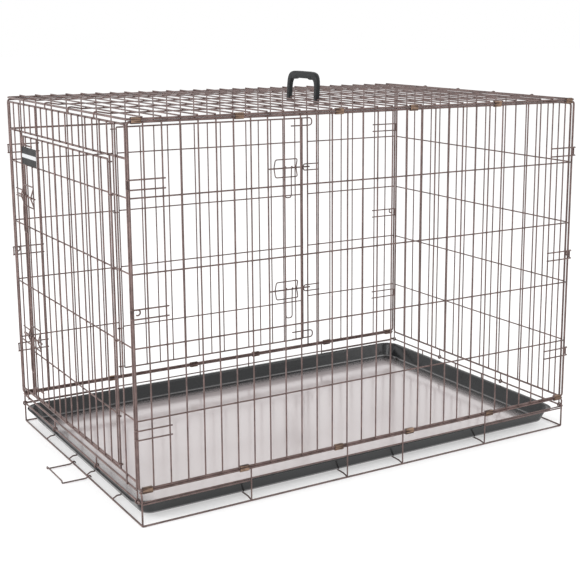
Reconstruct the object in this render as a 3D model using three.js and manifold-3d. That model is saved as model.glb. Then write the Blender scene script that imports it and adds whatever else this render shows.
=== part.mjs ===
// Folding wire dog crate: two long sides, two ends that fold inward, a lifting top, a door in the
// left end and a door in the far side, each with two slide bolts, and a pan on a wire base.
// Millimetres, +Z up. X runs from the left end (with the door) to the right end, Y from the near
// side to the far side. The origin is on the floor, in the middle of the whole object's box.
import * as THREE from 'three';
import { mergeVertices } from 'three/addons/utils/BufferGeometryUtils.js';
import Module from 'manifold-3d';

const wasm = await Module();
wasm.setup();

// Overall sizes, between wire centres
const LENGTH = 1176;
const WIDTH = 772;
const BASE_RAIL = 76.2; // height of the base's top rail
const LID_RAIL = 848.3; // height of the top panel's frame

// Wire
const FRAME_WIRE = 5;
const FIELD_WIRE = 3.4;
const HINGE_WIRE = 4.4;
const WELD = 0.4; // how far two welded wires sink into each other
const GAP = 0.4; // between wires that pass without a weld
const EYE_PLAY = 0.8; // between a hinge wire and the eye that turns on it
const EYE_WIRE = 2.8;
const GRID = 0.01; // corners of the welded pieces are rounded to this
const RAIL_GAP = 1.6; // between two rails held by one clip

// Mesh of the panels
const SIDE_PITCH = 39.74;
const END_PITCH = 41.3;
const ROW_PITCH = 153.6;
const ROWS = 4;
const LID_ROWS = 4;

// End panels
const END_INSET = 10; // from a side panel's plane to an end panel's post
const END_TOP = 838;
const END_BOTTOM = 78.6;
const HINGE_Z = 55; // the rail that the end panels fold about
const HINGE_LEG = 140; // from the middle to each inner hinge leg

// Door openings: local X is counted from the panel's middle, with the hinge on the + side
const OPENING_TOP = 771;
const OPENING_BOTTOM = 97; // in the end panel only
const EDGE_GAP = 18; // from a door's free edge to the panel's edge wire
const DOOR_TOP = 761;
const DOOR_BOTTOM = 103;
const DOOR_EYE_STEP = 4.6; // from a door's cross wire to the eye at its end
const DOOR_INSET = 12; // from the hinge wire to the door's first upright
const DOOR_LOW_ROW = 12; // how far a door's lowest row is below its panel's
const END_DOOR_FREE = -278;
const END_CURL = 7; // how far a door rail's end loop stands past the free edge
const SIDE_CURL = 36; // this one passes outside the panel's edge wire
const CURL_LENGTH = 70;
const CURL_DROP = 21;

// Bolts
const SIDE_BOLT_Z = [618, 256];
const END_BOLT_Z = [619, 264];
const BOLT_RADIUS = 2.2;
const BOLT_TIP = 32; // past the door's free edge
const BOLT_LENGTH = 136;
const BOLT_LOOP = [21, 88]; // width and length of the finger loop
const BOLT_LOOP_X = 38; // from the free edge to the loop's middle
const GUIDE = [12, 85, 52]; // from the free edge to its near and far sides, and its height
const KEEPER = [5, 60, 18]; // start and end past the free edge, and the height between its wires

// Corner hooks on the side panels
const HOOK_Z = [720, 458, 203];
const HOOK_SPAN = 20;
const HOOK_REACH = 10; // past the end post
const HOOK_ROOT = 4; // past the second upright from the panel's end

// Base and pan
const BASE_INSET = 4; // from the end posts to the base's corners
const CROSS_BAYS = [1.963, 8.254]; // the wires across the base, in bays from the middle
const RUNNER_Y = [60, 222];
const UPPER_RAIL = 53;
const FLOOR_GAP = 0.3;
const PAN_HEIGHT = 36.6;
const PAN_WALL = 2.5;
const PAN_SLOPE = 16; // how far the wall leans out from floor to rim
const PAN_RIM = 9;
const PAN_SIDE_GAP = 5; // from the rim to the base's uprights
const PAN_REACH = 4; // how far the rim stands past the left hinge rail
const PAN_RIGHT_GAP = 5;
const PAN_CORNER = 34;

// Stop for the pan, swung down in front of the left end
const STOP_Y = -23;
const STOP_HALF = 52;
const STOP_LENGTH = 64;
const STOP_HOOK = 5.6;
const STOP_PLAY = 1.3; // between the stop's eyes and the square rail they turn on

// Clips, handles and name plate
const CLIP_BAYS = [2.5, 8.63]; // in bays from the middle
const CLIP_END = 1.8; // from the base's corner post to the nearest clip's end
const CLIP_LENGTH = 20;
const CLIP_WALL = 1.2;
const CLIP_PLAY = 1.4;
const HANDLE_WIDTH = 150;
const HANDLE_HEIGHT = 73;
const HANDLE_DEPTH = 15;
const HANDLE_LEG = 24;
const HANDLE_GRIP = 18;
const HANDLE_BUMPS = 4;
const HANDLE_PIVOT = 8; // from the feet to the wire they swing on
const HANDLE_PLAY = 0.8;
const LID_HANDLE_Y = -60;
const PLATE = [104, 43, 1.5];
const PLATE_AT = [-217, 716];

// Worked-out places
const HALF_L = LENGTH / 2;
const HALF_W = WIDTH / 2;
const RAIL_STEP = FRAME_WIRE + RAIL_GAP;
const SIDE_TOP = LID_RAIL - RAIL_STEP;
const SIDE_BOTTOM = BASE_RAIL + RAIL_STEP;
const MIDDLE_Z = (LID_RAIL + SIDE_TOP + SIDE_BOTTOM + BASE_RAIL) / 4;
const END_HALF = HALF_W - END_INSET;
const DOORWAY_RAIL = FRAME_WIRE - 0.3; // rails above and below a doorway
const DOORWAY_WIRE = FRAME_WIRE - 0.6; // uprights beside a doorway, and the wire its door hangs on
const SIDE_BAYS = Math.floor((HALF_L - 25) / SIDE_PITCH); // on each side of the middle upright
const SIDE_END_BAY = HALF_L - SIDE_BAYS * SIDE_PITCH;
const END_BAYS = Math.floor((END_HALF - 15) / END_PITCH);
const LID_PITCH = WIDTH / (LID_ROWS + 1);
const CROSS_X = CROSS_BAYS.map((bays) => bays * SIDE_PITCH);
const LAST_CLIP = HALF_L - BASE_INSET - FRAME_WIRE / 2 - CLIP_END - CLIP_LENGTH / 2;
const CLIP_X = [...CLIP_BAYS.map((bays) => bays * SIDE_PITCH), LAST_CLIP];
const OUTER = (FRAME_WIRE + FIELD_WIRE) / 2 - WELD; // layer of the uprights, outside the frame's
const TRIM = OUTER + FIELD_WIRE - WELD; // layer of what is welded outside the uprights
const BOLT_LAYER = TRIM + FIELD_WIRE / 2 + BOLT_RADIUS + GAP;
const KEEPER_LAYER = OUTER - 0.15; // touches both the edge wire and the uprights
const CURL_LAYER = OUTER + 0.9;
const SIDE_HINGE = 8 * SIDE_PITCH;
const SIDE_DOOR_FREE = EDGE_GAP - 7 * SIDE_PITCH;
const END_HINGE = 7 * END_PITCH;
const BASE_X = HALF_L - BASE_INSET;
const BASE_SIDE = HALF_W + (FRAME_WIRE + FIELD_WIRE) / 2 - 0.6;
const CROSS_Z = FRAME_WIRE / 2 + OUTER;
const RUNNER_Z = CROSS_Z + FIELD_WIRE - WELD;
const RUNNER_END = HALF_L - (HINGE_WIRE + FIELD_WIRE) / 2 + 1.2;
const PAN_Z = RUNNER_Z + FIELD_WIRE / 2 + FLOOR_GAP;
const EYE_INNER = HINGE_WIRE / 2 + EYE_PLAY;
const DOOR_EYE_INNER = DOORWAY_WIRE / 2 + EYE_PLAY;
const HANDLE_SLOT = FIELD_WIRE / 2 + HANDLE_PLAY;
// Middle of the whole object's box: from the stop to the right hooks, from the near hooks to the
// side door's bolt guides
const CENTRE_X = -(STOP_LENGTH - BASE_INSET - HOOK_REACH) / 2;
const GUIDE_OUT = BOLT_LAYER + (BOLT_RADIUS + EYE_PLAY + EYE_WIRE) * Math.cos(Math.PI / 8);
const CENTRE_Y = (GUIDE_OUT - TRIM - FIELD_WIRE / 2) / 2;

const BRONZE = { color: 0x6d5650, roughness: 0.48, metalness: 0.65 };
const CLIP_BRONZE = { color: 0x8a6a4c, roughness: 0.4, metalness: 0.8 };
const BLACK_PLASTIC = { color: 0x24282b, roughness: 0.5, metalness: 0 };
const PAN_PLASTIC = { color: 0x2c2f31, roughness: 0.3, metalness: 0 };
const PLATE_COLOUR = { color: 0x1d1f20, roughness: 0.35, metalness: 0.1 };

const range = (from, to) => Array.from({ length: to - from + 1 }, (_, i) => from + i);

// ---- Solids ----

// A closed geometry as a manifold solid, after its shared vertices are merged. Its corners are put
// on a fine grid first, so that faces meant to lie in one plane do.
function solid(geometry) {
  const bare = geometry.clone();
  bare.deleteAttribute('normal');
  bare.deleteAttribute('uv');
  bare.attributes.position.array.forEach((value, i, all) => {
    all[i] = Math.round(value / GRID) * GRID;
  });
  const merged = mergeVertices(bare, 1e-4);
  const mesh = new wasm.Mesh({
    numProp: 3,
    vertProperties: new Float32Array(merged.attributes.position.array),
    triVerts: new Uint32Array(merged.index.array),
  });
  return new wasm.Manifold(mesh);
}

function union(pieces) {
  return pieces.map(solid).reduce((whole, piece) => whole.add(piece));
}

function geometryOf(manifold) {
  const mesh = manifold.getMesh();
  const geometry = new THREE.BufferGeometry();
  geometry.setAttribute('position', new THREE.BufferAttribute(mesh.vertProperties, 3));
  geometry.setIndex(new THREE.BufferAttribute(mesh.triVerts, 1));
  geometry.computeVertexNormals();
  return geometry;
}

const weld = (...pieces) => geometryOf(union(pieces.flat()));

// A straight wire of square section from one point to another, a little past each by over.
function wire(from, to, gauge, over = 0) {
  const a = new THREE.Vector3(...from);
  const b = new THREE.Vector3(...to);
  const along = b.clone().sub(a);
  const length = along.length() + 2 * over;
  const bar = new THREE.BoxGeometry(gauge, gauge, length);
  along.normalize();
  const side = new THREE.Vector3(0, 0, 1).cross(along);
  if (side.length() < 0.5) side.set(1, 0, 0);
  side.normalize();
  bar.applyMatrix4(new THREE.Matrix4().makeBasis(side, along.clone().cross(side), along));
  bar.translate((a.x + b.x) / 2, (a.y + b.y) / 2, (a.z + b.z) / 2);
  return bar;
}

// A straight eight-sided wire, for what turns in an eye.
function roundWire(from, to, radius) {
  const a = new THREE.Vector3(...from);
  const b = new THREE.Vector3(...to);
  const along = b.clone().sub(a);
  const rod = new THREE.CylinderGeometry(radius, radius, along.length(), 8);
  rod.rotateY(Math.PI / 8);
  const turn = new THREE.Quaternion();
  turn.setFromUnitVectors(new THREE.Vector3(0, 1, 0), along.normalize());
  rod.applyQuaternion(turn);
  rod.translate((a.x + b.x) / 2, (a.y + b.y) / 2, (a.z + b.z) / 2);
  return rod;
}

// Eight corners of a circle's outline.
function octagon(radius) {
  const angles = range(0, 7).map((i) => ((i + 0.5) * Math.PI) / 4);
  return angles.map((a) => new THREE.Vector2(radius * Math.cos(a), radius * Math.sin(a)));
}

// An eight-sided eye of bent wire; its hole runs along local X, Y or Z.
function eye(centre, inner, axis) {
  const outline = new THREE.Shape(octagon(inner + EYE_WIRE));
  outline.holes.push(new THREE.Path(octagon(inner / Math.cos(Math.PI / 8))));
  const ring = new THREE.ExtrudeGeometry(outline, { depth: EYE_WIRE, bevelEnabled: false });
  ring.translate(0, 0, -EYE_WIRE / 2);
  if (axis === 'x') ring.rotateY(Math.PI / 2);
  if (axis === 'y') ring.rotateX(Math.PI / 2);
  ring.translate(...centre);
  return ring;
}

// A wire loop with straight sides through the given points.
function loop(points, gauge, closed) {
  const ends = closed ? [...points.slice(1), points[0]] : points.slice(1);
  return ends.map((end, i) => wire(points[i], end, gauge, gauge / 2));
}

const rowHeights = range(0, ROWS - 1).map((i) => MIDDLE_Z + (i - (ROWS - 1) / 2) * ROW_PITCH);

function part(name, geometry, finish) {
  const mesh = new THREE.Mesh(geometry, new THREE.MeshStandardMaterial(finish));
  mesh.name = name;
  return mesh;
}

// ---- Panels: local X along the panel, Y up, Z outward ----

// Rows between two uprights, in the frame's own plane.
function rows(from, to, heights = rowHeights) {
  return heights.map((y) => wire([from, y, 0], [to, y, 0], FIELD_WIRE));
}

function uprights(places, bottom, top) {
  return places.map((x) => wire([x, bottom, OUTER], [x, top, OUTER], FIELD_WIRE, 1.5));
}

// A rectangle of frame wire, given between wire centres.
function frame(left, right, bottom, top) {
  const half = FRAME_WIRE / 2;
  const corners = (grow) => [[left - grow, bottom - grow], [right + grow, bottom - grow],
    [right + grow, top + grow], [left - grow, top + grow]].map(([x, y]) => new THREE.Vector2(x, y));
  const outline = new THREE.Shape(corners(half));
  outline.holes.push(new THREE.Path(corners(-half)));
  const ring = new THREE.ExtrudeGeometry(outline, { depth: FRAME_WIRE, bevelEnabled: false });
  ring.translate(0, 0, -half);
  return ring;
}

// The U of wire at a panel's corner that keeps the end panel's post in line.
function cornerHook(side, height) {
  const root = side * (HALF_L - SIDE_END_BAY - SIDE_PITCH - HOOK_ROOT);
  const nose = side * (HALF_L + HOOK_REACH);
  const half = HOOK_SPAN / 2;
  const path = [[root, height - half, TRIM], [nose, height - half, TRIM],
    [nose, height + half, TRIM], [root, height + half, TRIM]];
  return loop(path, FIELD_WIRE, false);
}

const cornerHooks = () => HOOK_Z.flatMap((z) => [cornerHook(-1, z), cornerHook(1, z)]).flat();
const sideGrid = range(-SIDE_BAYS, SIDE_BAYS).map((i) => i * SIDE_PITCH);
const endGrid = range(-END_BAYS, END_BAYS).map((i) => i * END_PITCH);

function plainSide() {
  return weld(
    frame(-HALF_L, HALF_L, SIDE_BOTTOM, SIDE_TOP),
    rows(-HALF_L, HALF_L),
    uprights(sideGrid, SIDE_BOTTOM, SIDE_TOP),
    cornerHooks(),
  );
}

// The two short wires beside a bolt's tip, joined at the end next to the door.
function keeper(free, height) {
  const half = KEEPER[2] / 2;
  const [near, far] = [free - KEEPER[0], free - KEEPER[1]];
  const path = [[far, -half], [near, -half], [near, half], [far, half]];
  return loop(path.map(([x, y]) => [x, height + y, KEEPER_LAYER]), FIELD_WIRE, false);
}

const keepers = (free, heights) => heights.flatMap((z) => keeper(free, z));

// What a door hangs on: the round hinge wire, the edge wire by its free side and their rows.
function doorway(half, hinge, free, bottom) {
  const edge = free - EDGE_GAP;
  return [
    roundWire([hinge, bottom, 0], [hinge, OPENING_TOP, 0], DOORWAY_WIRE / 2),
    wire([edge, bottom, 0], [edge, OPENING_TOP, 0], DOORWAY_WIRE),
    wire([-half, OPENING_TOP, 0], [half, OPENING_TOP, 0], DOORWAY_RAIL),
    rows(hinge, half),
    rows(-half, edge),
  ].flat();
}

function doorSide() {
  const edge = SIDE_DOOR_FREE - EDGE_GAP;
  const beyond = sideGrid.filter((x) => x > SIDE_HINGE + 1 || x < edge - 1);
  const above = sideGrid.filter((x) => x <= SIDE_HINGE + 1 && x > edge - 1);
  return weld(
    frame(-HALF_L, HALF_L, SIDE_BOTTOM, SIDE_TOP),
    doorway(HALF_L, SIDE_HINGE, SIDE_DOOR_FREE, SIDE_BOTTOM),
    uprights(beyond, SIDE_BOTTOM, SIDE_TOP),
    uprights(above, OPENING_TOP, SIDE_TOP),
    cornerHooks(),
    keepers(SIDE_DOOR_FREE, SIDE_BOLT_Z),
  );
}

// The legs below an end panel, each with an eye round the base's hinge rail.
function hingeLegs() {
  return [-END_HALF, -HINGE_LEG, HINGE_LEG, END_HALF].flatMap((x) => [
    wire([x, HINGE_Z + EYE_INNER + 1, 0], [x, END_BOTTOM, 0], FIELD_WIRE),
    eye([x, HINGE_Z, 0], EYE_INNER, 'x'),
  ]);
}

function plainEnd() {
  return weld(
    frame(-END_HALF, END_HALF, END_BOTTOM, END_TOP),
    rows(-END_HALF, END_HALF),
    uprights(endGrid, END_BOTTOM, END_TOP),
    hingeLegs(),
  );
}

function doorEnd() {
  const edge = END_DOOR_FREE - EDGE_GAP;
  const beyond = endGrid.filter((x) => x > END_HINGE + 1 || x < edge);
  const above = endGrid.filter((x) => x <= END_HINGE + 1 && x > edge);
  return weld(
    frame(-END_HALF, END_HALF, END_BOTTOM, END_TOP),
    doorway(END_HALF, END_HINGE, END_DOOR_FREE, OPENING_BOTTOM),
    wire([-END_HALF, OPENING_BOTTOM, 0], [END_HALF, OPENING_BOTTOM, 0], DOORWAY_RAIL),
    uprights(beyond, END_BOTTOM, END_TOP),
    uprights(above, OPENING_TOP, END_TOP),
    hingeLegs(),
    keepers(END_DOOR_FREE, END_BOLT_Z),
  );
}

function lid() {
  const sides = range(0, LID_ROWS - 1).map((i) => {
    const y = (i - (LID_ROWS - 1) / 2) * LID_PITCH;
    return wire([-HALF_L, y, 0], [HALF_L, y, 0], FIELD_WIRE);
  });
  return weld(frame(-HALF_L, HALF_L, -HALF_W, HALF_W), sides, uprights(sideGrid, -HALF_W, HALF_W));
}

// ---- Doors and bolts: local X from the panel's middle, hinge on the + side ----

// A U of wire lying on its side past a door's free edge, from one of the door's rails.
function railCurl(nose, layer, from, step) {
  const end = nose + CURL_LENGTH;
  const path = [[end, from], [nose, from], [nose, from + step], [end, from + step]];
  return loop(path.map(([x, y]) => [x, y, layer]), FIELD_WIRE, false);
}

// Wire guide: a rectangle with an eye in the middle of each side for the bolt to slide in.
function guide(free, height) {
  const [near, far] = [free + GUIDE[0], free + GUIDE[1]];
  const half = GUIDE[2] / 2;
  const path = [[near, half], [far, half], [far, -half], [near, -half]];
  const eyes = [near, far].map((x) => eye([x, height, BOLT_LAYER], BOLT_RADIUS + EYE_PLAY, 'x'));
  return [...loop(path.map(([x, y]) => [x, height + y, TRIM]), FIELD_WIRE, true), ...eyes];
}

function door(grid, hinge, free, boltHeights, curl, layer) {
  const first = hinge - DOOR_INSET;
  const inner = grid.filter((x) => x < first - 9 && x > free + 9);
  const heights = [rowHeights[0] - DOOR_LOW_ROW, ...rowHeights.slice(1)];
  const levels = [DOOR_BOTTOM + DOOR_EYE_STEP, ...[...heights, DOOR_TOP].map((y) => y - DOOR_EYE_STEP)];
  return weld(
    frame(free, first, DOOR_BOTTOM, DOOR_TOP),
    rows(free, first, heights),
    uprights(inner, DOOR_BOTTOM, DOOR_TOP),
    levels.map((y) => eye([hinge, y, 0], DOOR_EYE_INNER, 'y')),
    levels.map((y) => wire([first, y, 0], [hinge - DOOR_EYE_INNER - 1, y, 0], EYE_WIRE - 0.4)),
    railCurl(free - curl, layer, DOOR_TOP, -CURL_DROP),
    railCurl(free - curl, layer, DOOR_BOTTOM, CURL_DROP),
    boltHeights.flatMap((z) => guide(free, z)),
  );
}

// A bolt about its rod's tip: the rod, and the finger loop that hangs from it.
function bolt() {
  const [width, length] = BOLT_LOOP;
  const middle = BOLT_TIP + BOLT_LOOP_X;
  const [left, right] = [middle - width / 2, middle + width / 2];
  const path = [[left, 0, 0], [left, -length, 0], [right, -length, 0], [right, 0, 0]];
  return weld(roundWire([0, 0, 0], [BOLT_LENGTH, 0, 0], BOLT_RADIUS), loop(path, FIELD_WIRE, false));
}

// ---- Base, pan and stop ----

function base() {
  const low = FRAME_WIRE / 2;
  const mirror = [-1, 1];
  const longRails = mirror.flatMap((s) => [
    wire([-BASE_X, s * BASE_SIDE, low], [BASE_X, s * BASE_SIDE, low], FRAME_WIRE, FRAME_WIRE / 2),
    wire([-BASE_X, s * BASE_SIDE, UPPER_RAIL], [BASE_X, s * BASE_SIDE, UPPER_RAIL], FIELD_WIRE),
    wire([-HALF_L, s * HALF_W, BASE_RAIL], [HALF_L, s * HALF_W, BASE_RAIL], FRAME_WIRE),
  ]);
  const endRails = mirror.flatMap((s) => [
    wire([s * BASE_X, -BASE_SIDE, low], [s * BASE_X, BASE_SIDE, low], FRAME_WIRE),
    roundWire([s * HALF_L, -BASE_SIDE, HINGE_Z], [s * HALF_L, BASE_SIDE, HINGE_Z], HINGE_WIRE / 2),
  ]);
  const corners = mirror.flatMap((s) => mirror.map((t) =>
    wire([s * BASE_X, t * BASE_SIDE, low], [s * BASE_X, t * BASE_SIDE, BASE_RAIL], FRAME_WIRE)));
  const crosses = CROSS_X.flatMap((at) => mirror.flatMap((s) => [
    wire([s * at, -BASE_SIDE, CROSS_Z], [s * at, BASE_SIDE, CROSS_Z], FIELD_WIRE),
    ...mirror.map((t) => wire([s * at, t * BASE_SIDE, low], [s * at, t * BASE_SIDE, BASE_RAIL], FIELD_WIRE)),
  ]));
  const runners = RUNNER_Y.flatMap((at) => mirror.flatMap((t) => [
    wire([-BASE_X, t * at, RUNNER_Z], [RUNNER_END, t * at, RUNNER_Z], FIELD_WIRE),
    wire([-BASE_X, t * at, low], [-BASE_X, t * at, RUNNER_Z], FIELD_WIRE),
    wire([RUNNER_END, t * at, RUNNER_Z], [RUNNER_END, t * at, HINGE_Z], FIELD_WIRE, FIELD_WIRE / 2),
  ]));
  return weld(longRails, endRails, corners, crosses, runners);
}

function roundedRectangle(halfX, halfY, radius) {
  const outline = new THREE.Shape();
  [[1, 1], [-1, 1], [-1, -1], [1, -1]].forEach(([x, y], i) => {
    const start = (i * Math.PI) / 2;
    outline.absarc(x * (halfX - radius), y * (halfY - radius), radius, start, start + Math.PI / 2);
  });
  return outline;
}

// A block with a rounded outline whose foot is drawn in by slope on every side.
function taperedBlock(halfX, halfY, radius, depth, slope) {
  const block = new THREE.ExtrudeGeometry(roundedRectangle(halfX, halfY, radius),
    { depth, bevelEnabled: false, curveSegments: 4 });
  const position = block.attributes.position;
  for (let i = 0; i < position.count; i += 1) {
    if (position.getZ(i) < depth / 2) {
      position.setX(i, position.getX(i) * (1 - slope / halfX));
      position.setY(i, position.getY(i) * (1 - slope / halfY));
    }
  }
  return block;
}

const PAN_HALF_Y = BASE_SIDE - FIELD_WIRE / 2 - PAN_SIDE_GAP;
const PAN_LEFT = -HALF_L - PAN_REACH;
const PAN_RIGHT = RUNNER_END - FIELD_WIRE / 2 - PAN_RIGHT_GAP;
const PAN_HALF_X = (PAN_RIGHT - PAN_LEFT) / 2;

function pan() {
  const wallX = PAN_HALF_X - PAN_RIM;
  const wallY = PAN_HALF_Y - PAN_RIM;
  const inner = taperedBlock(wallX - PAN_WALL, wallY - PAN_WALL, PAN_CORNER - PAN_WALL,
    PAN_HEIGHT, PAN_SLOPE);
  inner.translate(0, 0, PAN_WALL);
  const rim = new THREE.ExtrudeGeometry(roundedRectangle(PAN_HALF_X, PAN_HALF_Y, PAN_CORNER + PAN_RIM),
    { depth: PAN_WALL, bevelEnabled: false, curveSegments: 4 });
  rim.translate(0, 0, PAN_HEIGHT - PAN_WALL);
  const outer = taperedBlock(wallX, wallY, PAN_CORNER, PAN_HEIGHT, PAN_SLOPE);
  return geometryOf(solid(outer).add(solid(rim)).subtract(solid(inner)));
}

// The stop about the base rail it swings on, lying flat: eyes, two legs, and the cross wire that
// hooks over the hinge rail once the stop is swung up.
function stop() {
  const reach = -STOP_LENGTH;
  const path = [[0, -STOP_HALF, 0], [reach, -STOP_HALF, 0], [reach, -STOP_HALF, STOP_HOOK],
    [reach, STOP_HALF, STOP_HOOK], [reach, STOP_HALF, 0], [0, STOP_HALF, 0]];
  const start = -(FRAME_WIRE + FIELD_WIRE) / 2 - STOP_PLAY;
  path[0][0] = start;
  path[path.length - 1][0] = start;
  const over = [-STOP_HALF, STOP_HALF].map((y) => [
    wire([start, y, 0], [start, y, -start], FIELD_WIRE, 0),
    wire([start, y, -start], [-start, y, -start], FIELD_WIRE, FIELD_WIRE / 2),
    wire([-start, y, -start], [-start, y, 0.4], FIELD_WIRE, 0),
  ]);
  return weld(loop(path, FIELD_WIRE, false), over.flat());
}

// ---- Clips, handles and name plate ----

// Sheet-metal clip that wraps two rails, one above the other, open on the inside (-Z here).
function clip(steps) {
  const half = FRAME_WIRE / 2 + CLIP_PLAY;
  const low = -half;
  const high = steps * RAIL_STEP + half;
  const wall = CLIP_WALL;
  const lip = 1.6;
  const points = [[-half, low - wall], [half + wall, low - wall], [half + wall, high + wall],
    [-half, high + wall], [-half, high - lip], [-half + wall, high - lip], [-half + wall, high],
    [half, high], [half, low], [-half + wall, low], [-half + wall, low + lip], [-half, low + lip]];
  const outline = new THREE.Shape(points.map(([out, up]) => new THREE.Vector2(out, up)));
  const body = new THREE.ExtrudeGeometry(outline, { depth: CLIP_LENGTH, bevelEnabled: false });
  body.translate(0, 0, -CLIP_LENGTH / 2);
  body.rotateY(-Math.PI / 2); // its length along X, its outward side along +Z
  return geometryOf(solid(body));
}

// Moulded handle in the XY plane, standing on its two feet, with finger bumps under the grip.
function handle() {
  const half = HANDLE_WIDTH / 2;
  const shoulder = 14;
  const under = HANDLE_HEIGHT - HANDLE_GRIP;
  const inner = half - HANDLE_LEG;
  const outline = new THREE.Shape();
  outline.moveTo(-half, 0);
  outline.lineTo(-half + 3, HANDLE_HEIGHT - shoulder - 5);
  outline.quadraticCurveTo(-half + 4, HANDLE_HEIGHT - 6, -half + shoulder + 4, HANDLE_HEIGHT - 4);
  outline.quadraticCurveTo(0, HANDLE_HEIGHT + 4, half - shoulder - 4, HANDLE_HEIGHT - 4);
  outline.quadraticCurveTo(half - 4, HANDLE_HEIGHT - 6, half - 3, HANDLE_HEIGHT - shoulder - 5);
  outline.lineTo(half, 0);
  outline.lineTo(inner - 2, 0);
  outline.lineTo(inner, under - 8);
  const bump = (2 * inner - 16) / HANDLE_BUMPS;
  outline.lineTo(inner - 8, under);
  range(1, HANDLE_BUMPS).forEach((i) => {
    const x = inner - 8 - (i - 1) * bump;
    outline.quadraticCurveTo(x - bump / 2, under - 5, x - bump, under);
  });
  outline.lineTo(-inner, under - 8);
  outline.lineTo(-inner + 2, 0);
  outline.closePath();
  const body = new THREE.ExtrudeGeometry(outline, { depth: HANDLE_DEPTH, bevelEnabled: false, curveSegments: 4 });
  body.translate(0, 0, -HANDLE_DEPTH / 2);
  const slot = new THREE.BoxGeometry(HANDLE_WIDTH + 10, 2 * HANDLE_SLOT, 2 * HANDLE_SLOT);
  slot.translate(0, HANDLE_PIVOT, 0);
  const mouth = new THREE.BoxGeometry(HANDLE_WIDTH + 10, HANDLE_PIVOT + 2, 2 * HANDLE_SLOT);
  mouth.translate(0, HANDLE_PIVOT / 2 - 1, 0);
  return geometryOf(solid(body).subtract(solid(slot)).subtract(solid(mouth)));
}

function plate() {
  const [width, height, depth] = PLATE;
  const outline = roundedRectangle(width / 2, height / 2, 4);
  const body = new THREE.ExtrudeGeometry(outline, { depth, bevelEnabled: false, curveSegments: 3 });
  return geometryOf(solid(body));
}


// ---- Assembly ----

// A group whose local X, Y, Z are along the panel, up and outward, for an outward compass turn.
function standing(turn, x, y, ...children) {
  const upright = new THREE.Group();
  upright.rotation.x = Math.PI / 2;
  upright.add(...children);
  const turned = new THREE.Group();
  turned.rotation.z = turn;
  turned.position.set(x, y, 0);
  turned.add(upright);
  return turned;
}

function placed(mesh, x, y, z) {
  mesh.position.set(x, y, z);
  return mesh;
}

// The clips along one long edge: one on each side of the middle at every clip place.
function clipRow(name, places, steps, height) {
  return places.flatMap((x) => [-x, x]).sort((a, b) => a - b).map((x, i) =>
    placed(part(`${name}_${i + 1}`, clip(steps), CLIP_BRONZE), x, height, 0));
}

function boltAt(name, free, height) {
  return placed(part(name, bolt(), BRONZE), free - BOLT_TIP, height, BOLT_LAYER);
}

const NEAR = 0;
const RIGHT = Math.PI / 2;
const FAR = Math.PI;
const LEFT = -Math.PI / 2;

const nearSide = standing(NEAR, 0, -HALF_W,
  part('near_side_panel', plainSide(), BRONZE),
  ...clipRow('near_base_clip', CLIP_X, 1, BASE_RAIL),
  ...clipRow('top_hinge_clip', CLIP_X, 1, SIDE_TOP));

const farSide = standing(FAR, 0, HALF_W,
  part('far_side_panel', doorSide(), BRONZE),
  ...clipRow('far_base_clip', CLIP_X, 1, BASE_RAIL),
  part('side_door', door(sideGrid, SIDE_HINGE, SIDE_DOOR_FREE, SIDE_BOLT_Z, SIDE_CURL, CURL_LAYER), BRONZE),
  boltAt('side_door_bolt_upper', SIDE_DOOR_FREE, SIDE_BOLT_Z[0]),
  boltAt('side_door_bolt_lower', SIDE_DOOR_FREE, SIDE_BOLT_Z[1]));

const leftEnd = standing(LEFT, -HALF_L, 0,
  part('left_end_panel', doorEnd(), BRONZE),
  part('end_door', door(endGrid, END_HINGE, END_DOOR_FREE, END_BOLT_Z, END_CURL, 0), BRONZE),
  boltAt('end_door_bolt_upper', END_DOOR_FREE, END_BOLT_Z[0]),
  boltAt('end_door_bolt_lower', END_DOOR_FREE, END_BOLT_Z[1]),
  placed(part('name_plate', plate(), PLATE_COLOUR), ...PLATE_AT, OUTER + FIELD_WIRE / 2 + GAP));

const rightEnd = standing(RIGHT, HALF_L, 0, part('right_end_panel', plainEnd(), BRONZE));

const top = placed(new THREE.Group(), 0, 0, LID_RAIL);
const carryHandle = part('carry_handle', handle(), BLACK_PLASTIC);
const handleTurn = new THREE.Group();
handleTurn.rotation.set(Math.PI / 2, 0, 0);
handleTurn.add(carryHandle);
const handleStand = placed(new THREE.Group(), 0, LID_HANDLE_Y, OUTER - HANDLE_PIVOT);
handleStand.rotation.z = Math.PI / 2;
handleStand.add(handleTurn);
top.add(part('top_panel', lid(), BRONZE), handleStand);

const crate = new THREE.Group();
crate.add(
  part('base_frame', base(), BRONZE),
  placed(part('tray', pan(), PAN_PLASTIC), (PAN_LEFT + PAN_RIGHT) / 2, 0, PAN_Z),
  placed(part('tray_stop', stop(), BRONZE), -BASE_X, STOP_Y, FRAME_WIRE / 2),
  nearSide, farSide, leftEnd, rightEnd, top,
);
crate.position.set(-CENTRE_X, -CENTRE_Y, 0);

const group = new THREE.Group();
group.add(crate);
export default group;
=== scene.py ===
"""Looks of a folding wire dog crate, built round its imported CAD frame.

Shapes are worked out in millimetres in the crate's own axes: x along the long sides from the door
end, y from the plain side to the side with the door, z up from the floor, with the middle of the
base's top rails at x = y = 0. place() then moves them to the frame and turns them into metres.
"""
import math

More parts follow.
